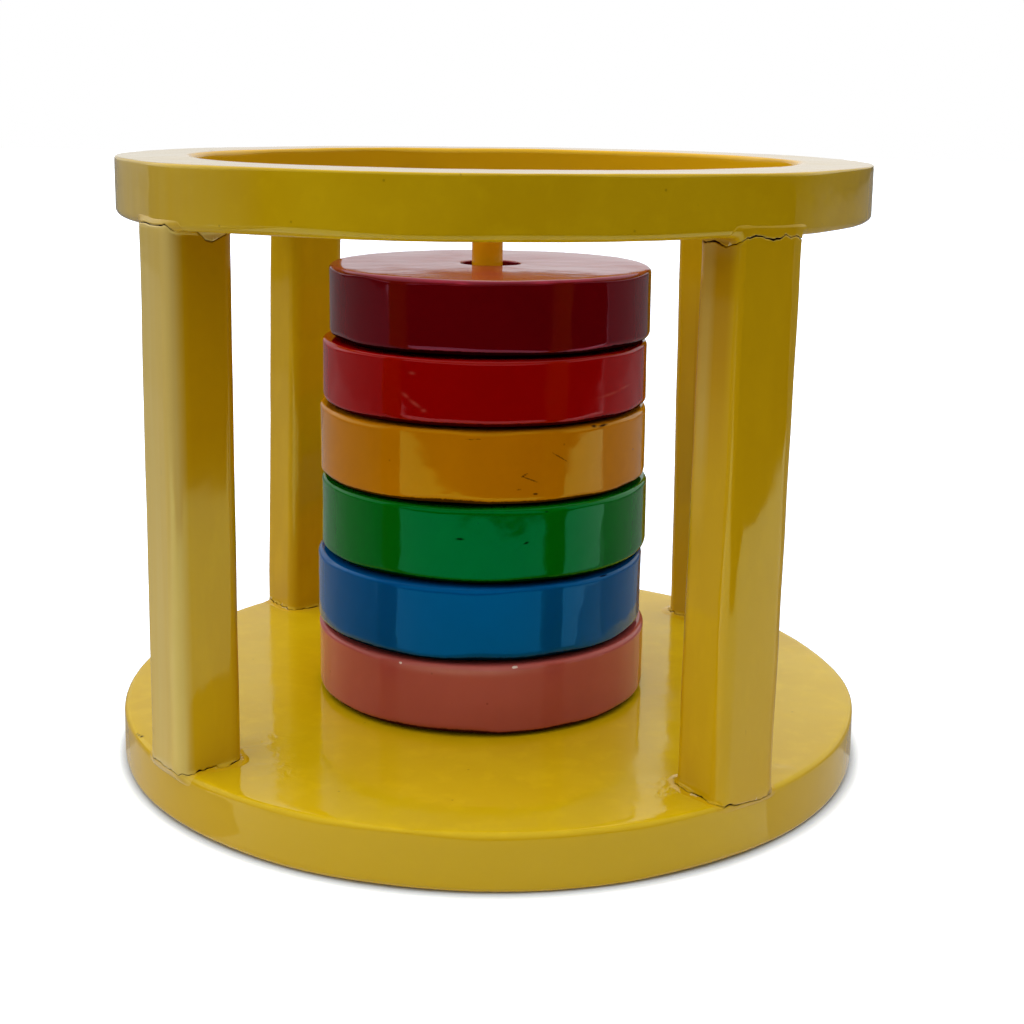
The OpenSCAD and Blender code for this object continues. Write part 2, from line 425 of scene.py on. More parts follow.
# Marks on the discs' walls: the kind, the degrees to the right of the front, the height over the underside,
# the half width and half height in millimetres, and the slope
DISC_MARKS = {
    # On the crimson disc the marks near its top are nicks along the top edge, and the two at 1.9 mm are
    # painted highlights along its lower edge
    "crimson": [("fade_and_highlight", -17, 19.0, 6.5, 0.22, 0), ("fade_and_highlight", -9, 18.7, 2.0, 0.2, 0.05),
                ("fade_and_highlight", 18, 19.0, 3.5, 0.22, 0), ("fade_and_highlight", 30, 19.1, 5.0, 0.2, 0),
                ("fade_and_highlight", -15, 1.9, 7.0, 0.25, 0), ("fade_and_highlight", 41, 1.9, 8.0, 0.25, 0)],
    "red": [("fade_and_highlight", -24.1, 13.7, 0.8, 0.35, 0), ("fade_and_highlight", -26.5, 7.9, 0.9, 0.5, -0.4),
            ("fade_and_highlight", -23, 6.0, 1.4, 0.5, -0.5), ("fade_and_highlight", -19.8, 4.4, 0.7, 0.4, 0),
            ("fade_and_highlight", 47, 7.0, 3.5, 0.3, 0.1), ("fade_and_highlight", 56, 8.0, 2.2, 0.25, 0.1)],
    "orange": [("crack", 40, 19.3, 1.0, 0.5, 0), ("crack", 44, 19.0, 2.0, 0.35, 0.1),
               ("dirt_and_shade", -2.7, 17.6, 1.9, 0.15, 0), ("dirt_and_shade", 26.4, 12.2, 2.6, 0.14, -0.6),
               ("dirt_and_shade", 15.7, 7.1, 2.2, 0.18, -0.4), ("dirt_and_shade", 14, 8.2, 1.0, 0.16, 0.5),
               ("dirt_and_shade", 17.7, 3.2, 0.8, 0.3, 0), ("dirt_and_shade", 12, 4.6, 0.9, 0.14, 0),
               ("dirt_and_shade", 63, 10.3, 0.5, 0.3, 0)],
    "green": [("dirt_and_shade", -7.4, 12.4, 1.1, 0.28, 0), ("dirt_and_shade", 14.1, 11.3, 0.9, 0.3, 0.3),
              ("dirt_and_shade", 21, 19.2, 0.5, 0.2, 0)],
    "blue": [("dirt_and_shade", 47, 19.6, 1.6, 0.2, 0)],
    "pink": [("flake", 11.3, 18.7, 0.8, 0.35, 0), ("fade_and_highlight", -6, 17.6, 15, 0.9, 0),
             ("flake", -27, 18.2, 0.5, 0.3, 0)],
}
# Under the discs' rims, outwards from here, the lacquer is darkened and loses its gloss: dirt, and painted
# shade where each disc sits on the one below
DISC_DIRT_AND_SHADE_FROM = 30 * MM


# The base: a full board with a tight wavering edge at its top

def base_top_edge(angles):
    """The rounding of the base's upper edge along its turn."""
    return edge_radii(angles, BOARD_EDGE_R, variation=0.3, seed=11)


def make_base():
    low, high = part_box("base_disc")
    angles = column_angles(BOARD_COLUMNS)
    radius = high.x
    top_edge = base_top_edge(angles)
    bottom_edge = edge_radii(angles, BOARD_EDGE_R * BASE_FOOT_EDGE, variation=0.2, seed=12)
    rim_top = corner((radius - top_edge, high.z - top_edge), top_edge, 90, 0)
    rim_bottom = corner((radius - bottom_edge, low.z + bottom_edge), bottom_edge, 0, -90)
    underside = straight(rim_bottom[-1], (HUB_R, low.z), 16)[1:]
    section = (straight((HUB_R, high.z), rim_top[0], 40) + rim_top
               + straight(rim_top[-1], rim_bottom[0], 12)[1:] + rim_bottom + underside)
    grid = turned(section, angles)
    grid = worn_in(grid, False, broad=0.10 * MM, fine=0.03 * MM, seed=21)
    # The underside stays flat, so that the board stands
    grid[-1 - len(underside):, :, 2] = low.z
    # The rim is painted in the base's darker second colour: painted shade on its upright side
    painted_shading = np.clip((0.8 - grid_normals(grid, False)[..., 2]) / 0.4, 0, 1)
    piece = make_mesh("base_board", grid, False, {"painted_shading": painted_shading})
    dress(piece, "base_disc", "stand", base_yellow)


# The ring: a wide band that the posts carry

def ring_edge(angles, which):
    """One of the ring's roundings along its turn, counted as in RING_EDGES."""
    return edge_radii(angles, BOARD_EDGE_R * RING_EDGES[which], variation=0.3, seed=31 + which)


def ring_radius(angles):
    """The rim's radius along its turn, with its swellings at the front posts."""
    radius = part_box("top_ring")[1].x * np.ones_like(angles)
    for post, swell in RING_SWELLS.items():
        low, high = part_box("post_" + post)
        away = angles - math.atan2(low.y + high.y, low.x + high.x) - RING_SWELL_AHEAD
        away = (away + math.pi) % TURN - math.pi
        radius += swell * np.exp(-(away / RING_SWELL_WIDE) ** 2)
    return radius


def ring_bottom(angles):
    """The height of the ring's underside along its turn."""
    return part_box("top_ring")[0].z - np.maximum(RING_SAG[0] - RING_SAG[1] * np.cos(angles), 0)


def make_ring():
    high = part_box("top_ring")[1]
    inner = high.x - RING_BAND
    angles = column_angles(BOARD_COLUMNS)
    edges = [ring_edge(angles, which) for which in range(len(RING_EDGES))]
    section = band_section(inner, ring_radius(angles), ring_bottom(angles), high.z, edges, wall_steps=12,
                           face_steps=14)
    grid = turned(section, angles)
    grid = worn_in(grid, True, broad=0.14 * MM, fine=0.03 * MM, seed=35)
    # The bore is painted in the ring's brighter, more orange second colour: painted light
    bore = np.clip((inner + 2 * MM - np.hypot(grid[..., 0], grid[..., 1])) / MM, 0, 1)
    # The rim has faded at its left, between 150 and 240 degrees of its turn
    turn = np.degrees(angles) % 360
    fade_and_highlight = 0.65 * np.clip((240 - turn) / 38, 0, 1) * np.clip((turn - 150) / 30, 0, 1) * np.ones_like(bore)
    piece = make_mesh("ring_board", grid, True, {"painted_shading": bore, "fade_and_highlight": fade_and_highlight * (1 - bore)})
    dress(piece, "top_ring", "stand", ring_yellow)


# The discs: hand-turned and drilled, each with its own marks of use

def marked(grid, centre, bottom, marks, kind):
    """How strongly each point of a disc's grid bears one kind of mark, from 0 to 1."""
    x, y = grid[..., 0] - centre.x, grid[..., 1] - centre.y
    reach = np.hypot(x, y)
    turn = np.arctan2(x, -y)
    value = np.zeros(reach.shape)
    for mark, degrees, height, wide, tall, slope in marks:
        if mark != kind:
            continue
        along = (turn - math.radians(degrees)) * reach / MM
        over = (grid[..., 2] - bottom) / MM - height - slope * along
        value = np.maximum(value, np.exp(-(along / wide) ** 2 - (over / tall) ** 2))
    on_wall = np.clip((0.9 - np.abs(grid_normals(grid, True)[..., 2])) / 0.15, 0, 1)
    return value * on_wall * (reach > DISC_BORE_R * 2)


def make_disc(paint):
    node = "disc_" + paint
    low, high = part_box(node)
    middle = (low + high) / 2
    seed = 50 + 10 * list(DISC_PAINTS).index(paint)
    angles = column_angles(DISC_COLUMNS, front_share=0.5)
    edges = [edge_radii(angles, DISC_EDGE_R * share, 0.22, seed + k) for k, share in enumerate(DISC_EDGES)]
    rim = (high.x - low.x) / 2 + DISC_FULLER
    section = band_section(DISC_BORE_R, rim, low.z, high.z, edges, wall_steps=60, face_steps=14,
                           relief=DISC_RELIEF)
    grid = turned(section, angles, middle.x, middle.y)
    reach = np.hypot(grid[..., 0] - middle.x, grid[..., 1] - middle.y)
    fall = CROWN_SLOPE * np.maximum(reach - CROWN_FROM, 0)
    grid[..., 2] -= fall * np.clip((grid[..., 2] - low.z) / (high.z - low.z), 0, 1)
    grid = worn_in(grid, True, broad=0.18 * MM, fine=0.03 * MM, seed=seed + 5)
    upward = grid_normals(grid, True)[..., 2]
    marks = {kind: marked(grid, middle, low.z, DISC_MARKS[paint], kind)
             for kind in ("flake", "fade_and_highlight", "crack", "dirt_and_shade")}
    # The downward parts of the outer rims are darkened: dirt, and painted shade between stacked discs
    downward = np.clip((-0.30 - upward) / 0.35, 0, 1)
    outer_part = np.hypot(grid[..., 0], grid[..., 1]) > DISC_DIRT_AND_SHADE_FROM
    marks["dirt_and_shade"] = np.maximum(marks["dirt_and_shade"], downward * outer_part)
    top = np.clip((upward - 0.6) / 0.3, 0, 1)
    marks["matt"] = top * DISC_MATT.get(paint, 0.0)
    marks["fade_and_highlight"] = np.maximum(marks["fade_and_highlight"], top * DISC_TOP_HAZE.get(paint, 0.0))
    piece = make_mesh(paint + "_disc", grid, True, marks)
    bare, fade_and_highlight_colour = DISC_SCARS.get(paint, (BARE_FILLER, FADED_LACQUER))
    finish = lacquer(paint + "_paint", *DISC_PAINTS[paint], seed=seed / 30, bare=bare, fade_and_highlight_colour=fade_and_highlight_colour)
    dress(piece, node, node, finish)


# The peg, which stands in the base and keeps the discs in line

def make_peg():
    low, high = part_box("centre_peg")
    middle = (low + high) / 2
    radius = (high.x - low.x) / 2 - PEG_THINNER
    angles = column_angles(PEG_COLUMNS)
    tip = corner((radius - PEG_TIP_R, high.z - PEG_TIP_R), PEG_TIP_R, 90, 0, 12)
    section = ([(PEG_HUB_R, high.z)] + tip + straight(tip[-1], (radius, low.z), 60)[1:]
               + [(radius, low.z), (PEG_HUB_R, low.z)])
    grid = turned(section, angles, middle.x, middle.y)
    # The foot stays flat
    grid[:-2] = worn_in(grid, False, broad=0.25 * MM, fine=0.02 * MM, seed=41)[:-2]
    piece = make_mesh("stacking_peg", grid, False)
    dress(piece, "centre_peg", "stand", peg_ochre)


# Posts: square bars whose lacquer runs out over the base and the ring, and has cracked along the seams.
# A place round a post is its distance along the outline, anticlockwise from the middle of the outer face.

# The turn of each post about its own length, in degrees
POST_SKEWS = {"front_right": -6, "back_right": 0, "back_left": -4, "front_left": -5}
# How far each post's foot and head lean to the right of their true places
POST_LEANS = {"front_right": (-0.5, 1.2), "back_right": (0.3, -0.3),
              "back_left": (-1.1, 0.9), "front_left": (-0.4, -0.6)}
# Faded bands: between two places, from one height to another in millimetres, and how strongly
POST_HAZE = {
    "front_left": [(-11, 12.3, 0, 160, 0.9)],
    "front_right": [(-26, -17.5, 90, 160, 0.45)],
}
# Bands painted in deeper yellow, in the same way: painted shade under the ring at the front posts' heads and
# low on the back right post beside the discs, and a light darkening down the whole outer face of the front
# right post
POST_PAINTED_SHADE = {
    "front_left": [(11, 27, 85, 170, 0.75)],
    "front_right": [(-27, -11, 105, 170, 0.75), (-11, 9, -20, 180, 0.3)],
    "back_right": [(-40, -9, 14, 110, 0.6)],
}
# How far a post's faces bow inwards, how far from its ends that is in full, and each post's random start
POST_BOW = 0.16 * MM
POST_BOW_START = 6 * MM
POST_BOW_SEEDS = {"front_right": 311, "back_right": 310, "back_left": 309, "front_left": 310}
# Pale filler between a looped crack and its seam: from one place to another
POST_FILLER = {("front_left", "head"): (9.5, 24.5)}
# How far the lacquer runs along a board's rim, and how high over the board's face the seam shows in the
# lacquer's hollow
RIM_RUN = 1.1 * MM
SEAM_HEIGHT = 0.25 * MM
# The lacquer round a post's end, in millimetres: how far it reaches out over the board, how high up the post
# it starts, how thick it ends, how far its film runs on, how wide its crack is, and as shares how far that
# opens and how chipped its lips are. Each varies as (mean, variation, least, most, length of a change).
SEAM_SHAPE = {
    "spread": (1.1, 0.35, 0.5, 1.8, 11),
    "rise": (1.5, 0.5, 0.7, 2.4, 9),
    "film": (0.09, 0.03, 0.05, 0.14, 5),
    "run_on": (2.2, 0.8, 1.2, 3.4, 12),
    "width": (0.36, 0.14, 0.12, 0.6, 4),
    "opening": (1.0, 0.5, 0.5, 1, 7),
    "chips_before": (-0.25, 0.8, 0, 1, 5),
    "chips_after": (-0.3, 0.8, 0, 1, 5),
}
# How deep a crack is and how far its lips stand up
CRACK_DEPTH = 0.5 * MM
CRACK_LIP = 0.04 * MM
# Where the rows beside a crack lie, and how far it stays from the first row and the last
CRACK_BESIDE = (1.3 * MM, 0.85 * MM, 0.5 * MM)
CRACK_CLEAR = (4 * MM, 1.9 * MM)
# Where a crack strays from its seam, in millimetres: (place, height)
STRAYS = {
    ("front_left", "foot"): [(-12, 0), (-8.2, -0.2), (-6.5, -0.7), (-2.7, -0.3), (-0.6, -0.4), (3.5, -0.4),
                             (6.6, 0.1), (7.6, -0.7), (8.8, 0), (10.6, -0.4), (11.7, -0.5), (12.9, -0.1),
                             (15.8, 0), (17.7, 0.5), (18.4, -0.3), (19.8, -0.4), (21.9, 0.1), (24.9, 0)],
    ("front_right", "foot"): [(-25, -0.1), (-23.3, -0.3), (-18.6, -0.4), (-13.7, 0.3), (-11.9, -0.2),
                              (-7.1, -0.7), (-5.6, -0.5), (-2.6, -1.7), (-0.4, -1.8), (1.4, -1.4),
                              (3.6, -1.8), (7, -1.1), (9, -1.6)],
    ("front_left", "head"): [(-9, 1.1), (-6.8, 1.2), (-4.3, 1.6), (-0.7, 1.5), (2.9, 1.9), (5.8, 1.9),
                             (7.6, 1.7), (9.3, 0.9), (12, 0.4), (14.9, 0.2), (17.1, -1.4), (18.1, -2.6),
                             (19.6, -2.9), (22.4, -1.3), (25, -0.2)],
    ("front_right", "head"): [(-25, -0.6), (-22.9, -1.5), (-18.7, -0.9), (-14.8, -2.1), (-11.4, -1.2),
                              (-8.1, 0.3), (-5.2, 1), (-2, 0.1), (1.5, 0.3), (3.3, 0.8), (4.8, 0.1),
                              (6.5, 0.7), (9, 0.3)],
}


def banded(bands, places, heights):
    """How strongly the bands cover each point of a post."""
    value = np.zeros(heights.shape)
    for begin, finish, bottom, top, amount in bands:
        across = np.clip(np.minimum(places / MM - begin, finish - places / MM) / 2.5, 0, 1)
        upright = np.clip(np.minimum(heights / MM - bottom, top - heights / MM) / 30 + 0.5, 0, 1)
        value = np.maximum(value, amount * across * upright)
    return value


def post_outline():
    """Even places round a post's section, with the points and the outward directions there."""
    half = POST_SIDE / 2 - POST_CORNER_R
    points, turns = [], []
    for quarter, (sx, sy) in enumerate(((1, 1), (-1, 1), (-1, -1), (1, -1))):
        for a in np.linspace(quarter, quarter + 1, 20) * math.pi / 2:
            points.append((sx * half + POST_CORNER_R * math.cos(a), sy * half + POST_CORNER_R * math.sin(a)))
            turns.append(a)
    # The outline starts and ends in the middle of the outer face
    points = np.array([(POST_SIDE / 2, 0), *points, (POST_SIDE / 2, 0)])
    turns = np.array([0, *turns, TURN])
    reach = np.concatenate([[0], np.cumsum(np.linalg.norm(np.diff(points, axis=0), axis=1))])
    places = np.linspace(0, reach[-1], POST_COLUMNS, endpoint=False)
    xy = np.stack([np.interp(places, reach, points[:, k]) for k in (0, 1)], -1)
    turn = np.interp(places, reach, turns)
    signed = np.where(places > reach[-1] / 2, places - reach[-1], places)
    return signed, xy, np.stack([np.cos(turn), np.sin(turn)], -1)


def rotated(xy, angle):
    c, s = math.cos(angle), math.sin(angle)
    return np.stack([xy[..., 0] * c - xy[..., 1] * s, xy[..., 0] * s + xy[..., 1] * c], -1)


def on_board(xy, lift, board_r, edge_r, face_z, toward):
    """Points over a round board's face, or on past its edge and along its rim, lifted off its surface."""
    reach = np.linalg.norm(xy, axis=-1)
    flat = board_r - edge_r
    bend = np.clip((reach - flat) / edge_r, 0, math.pi / 2)
    # Past the edge the lacquer runs only a little way along the rim
    past = np.maximum(reach - flat - edge_r * math.pi / 2, 0)
    past = RIM_RUN * (1 - np.exp(-past / RIM_RUN))
    radius = np.minimum(reach, flat) + (edge_r + lift) * np.sin(bend)
    z = face_z + toward * (edge_r * (1 - np.cos(bend)) + past - lift * np.cos(bend))
    return np.concatenate([xy / reach[..., None] * radius[..., None], z[..., None]], -1)


def crack_line(post, end, places):
    """Heights of a crack over its seam, as listed where the photograph shows it and jagged all round."""
    period = places.max() - places.min() + (places[1] - places[0])
    path = np.stack([np.cos(places * TURN / period), np.sin(places * TURN / period),
                     np.zeros_like(places)], -1) * period / TURN
    seed = 200 + 7 * list(POST_SKEWS).index(post) + (3 if end == "head" else 0)
    line = 0.32 * MM * soft_noise(path, 6 * MM, seed) + 0.25 * MM * soft_noise(path, 1.5 * MM, seed + 1)
    known = STRAYS.get((post, end))
    if known:
        at = np.array([p for p, _ in known]) * MM
        by_hand = np.interp(places, at, np.array([h for _, h in known]) * MM)
        inside = np.clip(np.minimum(places - at[0], at[-1] - places) / (1.5 * MM), 0, 1)
        line = line * (1 - 0.6 * inside) + by_hand * inside
    return line, path, seed


def seam_curves(xy, out, seat, spread, rise, film, run_on):
    """Each column's curve from the plain bar over the lacquer's fillet to its edge on the board."""
    *_, face_z, toward = seat
    up = -toward

    def wall(height):
        return np.concatenate([xy, np.full((len(xy), 1), face_z) + up * height], -1)

    def board(reach, lift):
        return on_board(xy + out * np.reshape(reach, (-1, 1)), lift, *seat)

    start = wall(rise[:, None])
    foot = board(spread, film)
    # The fillet bends at the seam, or a third of the way to its foot where the post stands past the rim
    bend_z = np.minimum(up * (foot[:, 2] - face_z) * 0.3, film)
    bend = np.concatenate([xy, (face_z + up * bend_z)[:, None]], -1)
    curve = [wall(h * MM) for h in np.linspace(9, 3, 7)]
    for t in np.linspace(0, 1, 25):
        curve.append((1 - t) ** 2 * start + 2 * t * (1 - t) * bend + t * t * foot)
    # The film thins out and ends under the board's surface
    film_out = spread + run_on
    for share in np.linspace(0.1, 1, 10):
        fade = 0.5 + 0.5 * math.cos(math.pi * share)
        curve.append(board(spread + (film_out - spread) * share, film * fade - 0.2 * MM * share))
    curve.append(board(film_out, -0.5 * MM))
    return np.array(curve)


def seam_rows(post, end, places, xy, out, seat):
    """The rows of one end of a post, from the plain bar to the lacquer's edge on the board: their points,
    how far they sink and how strongly they bear each mark. The seat is the board's radius, its edge's
    rounding, the height of its face and the way from the post into it, 1 for up and -1 for down."""
    *_, face_z, toward = seat
    up = -toward
    columns = len(places)
    line, path, seed = crack_line(post, end, places)
    shape = {}
    for step, (key, (mean, variation, least, most, size)) in enumerate(SEAM_SHAPE.items(), 2):
        shape[key] = np.clip(mean + variation * soft_noise(path, size * MM, seed + step), least, most)
    curve = seam_curves(xy, out, seat, *(MM * shape[key] for key in ("spread", "rise", "film", "run_on")))

    # Distances down each column's curve, counted from where it nears the board's face
    steps = np.linalg.norm(np.diff(curve, axis=0), axis=2)
    depth = np.concatenate([np.zeros((1, columns)), np.cumsum(steps, axis=0)])
    fallen = up * (face_z - curve[:, :, 2])
    depth -= [np.interp(-SEAM_HEIGHT, fallen[:, c], depth[:, c]) for c in range(columns)]
    crack = np.clip(-up * line, depth[0] + CRACK_CLEAR[0], depth[-1] - CRACK_CLEAR[1])

    width = MM * shape["width"]
    far = CRACK_BESIDE[0]
    rows = [depth[0] + (crack - far - depth[0]) * s for s in np.linspace(0, 1, 12)[:-1]]
    rows += [crack - beside for beside in CRACK_BESIDE]
    # The crack itself has four rows: its lips and its floor between them
    lip = len(rows)
    rows += [crack - share * width for share in (0.5, 0.3, -0.3, -0.5)]
    rows += [crack + beside for beside in CRACK_BESIDE[::-1]]
    rows += [crack + far + (depth[-1] - crack - far) * s for s in np.linspace(0, 1, 14)[1:]]
    rows = np.array(rows)
    grid = np.empty((len(rows), columns, 3))
    for c in range(columns):
        for k in range(3):
            grid[:, c, k] = np.interp(rows[:, c], depth[:, c], curve[:, c, k])

    lips, floor = [lip, lip + 3], slice(lip + 1, lip + 3)
    opening = shape["opening"]
    sink = np.zeros((len(rows), columns))
    sink[lips] = -CRACK_LIP * opening
    sink[floor] = CRACK_DEPTH * opening
    dark = np.zeros_like(sink)
    dark[floor] = opening
    dark[lips] = 0.3 * opening
    pale = np.zeros_like(sink)
    pale[lip - 2:lip] = 0.45 * shape["chips_before"]
    pale[lip] = 0.55 * shape["chips_before"]
    pale[lip + 3] = 0.55 * shape["chips_after"]
    pale[lip + 4:lip + 6] = 0.45 * shape["chips_after"]
    filler = np.zeros_like(sink)
    if (post, end) in POST_FILLER:
        begin, finish = (edge * MM for edge in POST_FILLER[post, end])
        within = np.clip(np.minimum(places - begin, finish - places) / (1.5 * MM), 0, 1)
        filler = within * np.clip((rows - crack) / (0.4 * MM), 0, 1) * np.clip(1 - rows / MM, 0, 1)
    beyond = np.clip((rows - crack) / (0.3 * MM), 0, 1)
    return {"grid": grid, "sink": sink, "dark": dark, "pale": pale, "filler": filler, "beyond": beyond}


def drawn_in(post, head_xy):
    """A post's outline at its head, drawn in by HEAD_FLUSH where it stands past the ring's swollen rim."""
    if post not in HEAD_FLUSH:
        return head_xy
    rim = ring_radius(np.arctan2(head_xy[:, 1], head_xy[:, 0]))
    proud = 1 - np.minimum(1, rim / np.linalg.norm(head_xy, axis=1))
    return head_xy * (1 - HEAD_FLUSH[post] * proud[:, None])


def make_post(post):
    node = "post_" + post
    low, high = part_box(node)
    middle = (low + high) / 2
    azimuth = math.atan2(middle.y, middle.x)
    turn = azimuth + math.radians(POST_SKEWS[post])
    places, xy, out = post_outline()
    out = rotated(out, turn)
    xy = rotated(xy, turn) + np.array([middle.x, middle.y])
    foot_lean, head_lean = (np.array([lean * MM, 0]) for lean in POST_LEANS[post])

    azimuths = np.arctan2(xy[:, 1], xy[:, 0])
    underside = ring_bottom(np.array([azimuth]))[0]
    base_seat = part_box("base_disc")[1].x, base_top_edge(azimuths), low.z, -1
    ring_seat = ring_radius(azimuths), ring_edge(azimuths, OUTER_BOTTOM), underside, 1
    foot = seam_rows(post, "foot", places, xy + foot_lean, out, base_seat)
    head = seam_rows(post, "head", places, drawn_in(post, xy + head_lean), out, ring_seat)
    top, bottom = head["grid"][0], foot["grid"][0]
    shank = np.array([top + (bottom - top) * t for t in np.linspace(0, 1, 44)[1:-1]])
    grid = np.concatenate([head["grid"][::-1], shank, foot["grid"]])
    unmarked = np.zeros(shank.shape[:2])
    sink, dark, pale, filler, beyond = (np.concatenate([head[key][::-1], unmarked, foot[key]])
                                        for key in ("sink", "dark", "pale", "filler", "beyond"))

    normals = grid_normals(grid, False)
    bow = POST_BOW * np.clip(1 + soft_noise(grid, 30 * MM, POST_BOW_SEEDS[post]), 0, 2) / 2
    plain = np.clip(np.minimum(grid[..., 2] - low.z, underside - grid[..., 2]) / POST_BOW_START, 0, 1)
    grid = grid - normals * (sink + bow * plain)[..., None]
    fade_and_highlight = banded(POST_HAZE.get(post, []), places, grid[..., 2]) * (1 - 0.6 * beyond)
    fade_and_highlight = np.maximum(fade_and_highlight, 0.8 * filler)
    # Painted shade: the bands above, in the post's deeper second yellow
    painted_shading = banded(POST_PAINTED_SHADE.get(post, []), places, grid[..., 2])
    marks = {"crack": dark, "flake": pale, "fade_and_highlight": fade_and_highlight, "painted_shading": painted_shading}
    piece = make_mesh(post + "_post", grid, False, marks)
    dress(piece, node, "stand", post_yellow)


def dress_pins():
    """The pins inside the seams keep their solids, in bare beech."""
    beech = bare_wood("beech", (0.60, 0.40, 0.20), (0.48, 0.29, 0.13))
    for name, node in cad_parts.items():
        if name.startswith("dowel"):
            node.data.materials.clear()
            node.data.materials.append(beech)


# Camera, floor and light: the surround gives all the light, and flags and cards shape what the gloss shows

# How bright the floor is to the camera and in the gloss, and its contact shadow's reach and shade
FLOOR_SEEN = (1.25, 1.34, 1.47)
FLOOR_IN_GLOSS = (1.08, 1.10, 1.15)
CONTACT_SHADOW = 4 * MM
CONTACT_DARK = 0.36
# The surround's light from the front, back, left and right, low and high, and from above
LIGHT_LOW = (0.05, 0.95, 1.35, 0.05)
LIGHT_HIGH = (0.4, 0.95, 1.5, 0.9)
LIGHT_TOP = 2.8
# Upward parts of a direction between which low light turns high, and high light turns top light
LOW_TO_HIGH = (0.2, 0.55)
HIGH_TO_TOP = (0.75, 0.95)
# Heights of the floor that light and gloss find, and of the flags and the gloss cards over it, and how far
# the floors reach
UNDER_FLOOR_Z = -1 * MM
FLAG_Z = -0.6 * MM
CARD_Z = -0.3 * MM
FAR = 5.0


def place_camera():
    """The camera of the photograph, solved from its outlines: place, aim, roll, focal length and shift."""
    distance, height = 443.48 * MM, 176.27 * MM
    yaw, pitch, roll = 0.01204, 0.17632, -0.01283
    focal_px, centre_y_px, picture_px, sensor_mm = 1628.8, 391.5, 1024, 36
    ahead = Vector((math.sin(yaw) * math.cos(pitch), math.cos(yaw) * math.cos(pitch), -math.sin(pitch)))
    right = Vector((math.cos(yaw), -math.sin(yaw), 0))
    down = ahead.cross(right)
    right, down = (right * math.cos(roll) + down * math.sin(roll),
                   down * math.cos(roll) - right * math.sin(roll))
    data = bpy.data.cameras.new("camera")
    data.sensor_width = sensor_mm
    data.lens = focal_px * sensor_mm / picture_px
    data.shift_y = (centre_y_px - picture_px / 2) / picture_px
    data.clip_start = 0.01
    camera = bpy.data.objects.new("camera", data)
    facing = Matrix((right, -down, -ahead)).transposed().to_4x4()
    camera.matrix_world = Matrix.Translation((0, -distance, height)) @ facing
    bpy.context.scene.collection.objects.link(camera)
    bpy.context.scene.camera = camera


def lying(height, *places):
    """Corners of a card that lies over places of the floor."""
    return [(x, y, height) for x, y in places]


def standing(first, last, first_height, last_height=None):
    """Corners of a card that stands on the floor from one place to another, as high as said at its ends."""
    return [(*first, 0), (*last, 0), (*last, last_height or first_height), (*first, first_height)]


def stage_plane(name, corners, material):
    mesh = bpy.data.meshes.new(name)
    mesh.from_pydata(corners, [], [list(range(len(corners)))])
    mesh.materials.append(material)
    plane = bpy.data.objects.new(name, mesh)
    bpy.context.scene.collection.objects.link(plane)
    return plane


def seen_directly(tree):
    """1 for the rays that look at a thing: from the camera, in a reflection or through glass."""
    path = add_node(tree, "LightPath").outputs
    seen = maths(tree, "MAXIMUM", path["Is Camera Ray"], path["Is Glossy Ray"])
    return maths(tree, "MAXIMUM", seen, path["Is Transmission Ray"])


def floor_material():
    """A pale floor that shows as white with the object's shadow, and with a tight painted contact shadow,
    darkened by ambient occlusion, where the base stands."""
    material, tree, shader = new_material("floor")
    tree.nodes.remove(shader)
    near = add_node(tree, "AmbientOcclusion", {"Distance": CONTACT_SHADOW}, samples=8).outputs["AO"]
    shadow = rgba([c * CONTACT_DARK for c in FLOOR_SEEN])
    colour = mixed(tree, ramp(tree, near, 0.45, 0.97), shadow, rgba(FLOOR_SEEN))
    set_surface(tree, add_node(tree, "BsdfDiffuse", {"Color": colour}))
    return material


def under_floor_material():
    """The floor as the light and the gloss find it: pale to the one and white to the other."""
    material, tree, shader = new_material("under_floor")
    tree.nodes.remove(shader)
    colour = mixed(tree, seen_directly(tree), rgba((0.8, 0.8, 0.8)), rgba(FLOOR_IN_GLOSS))
    set_surface(tree, add_node(tree, "BsdfDiffuse", {"Color": colour}))
    return material


def card_material(name, grey):
    """A dull grey card."""
    material, _, shader = new_material(name)
    shader.inputs["Base Color"].default_value = rgba((grey, grey, grey))
    shader.inputs["Roughness"].default_value = 1.0
    shader.inputs["Specular IOR Level"].default_value = 0.0
    return material


def set_flag(name, corners, material):
    """A studio flag: a dark card out of the frame, which the camera doesn't see."""
    flag = stage_plane(name, corners, material)
    flag.visible_camera = False


def set_gloss_card(name, corners, radiance, right_radiance=None):
    """A card that shows only in the gloss of the lacquer, as the room of the photograph does. Above its foot
    it may brighten towards the right."""
    material, tree, shader = new_material(name)
    tree.nodes.remove(shader)
    if right_radiance:
        place = add_node(tree, "SeparateXYZ", {0: add_node(tree, "TexCoord").outputs["Object"]}).outputs
        radiance = ramp(tree, place["X"], -1.3, 0.3, radiance, right_radiance)
        radiance = maths(tree, "MAXIMUM", radiance, ramp(tree, place["Z"], 0.5, 1.1, 0.75, 0))
    set_surface(tree, add_node(tree, "Emission", {"Color": rgba((1, 1, 1)), "Strength": radiance}))
    card = stage_plane(name, corners, material)
    card.visible_camera = False
    card.visible_diffuse = False
    card.visible_shadow = False


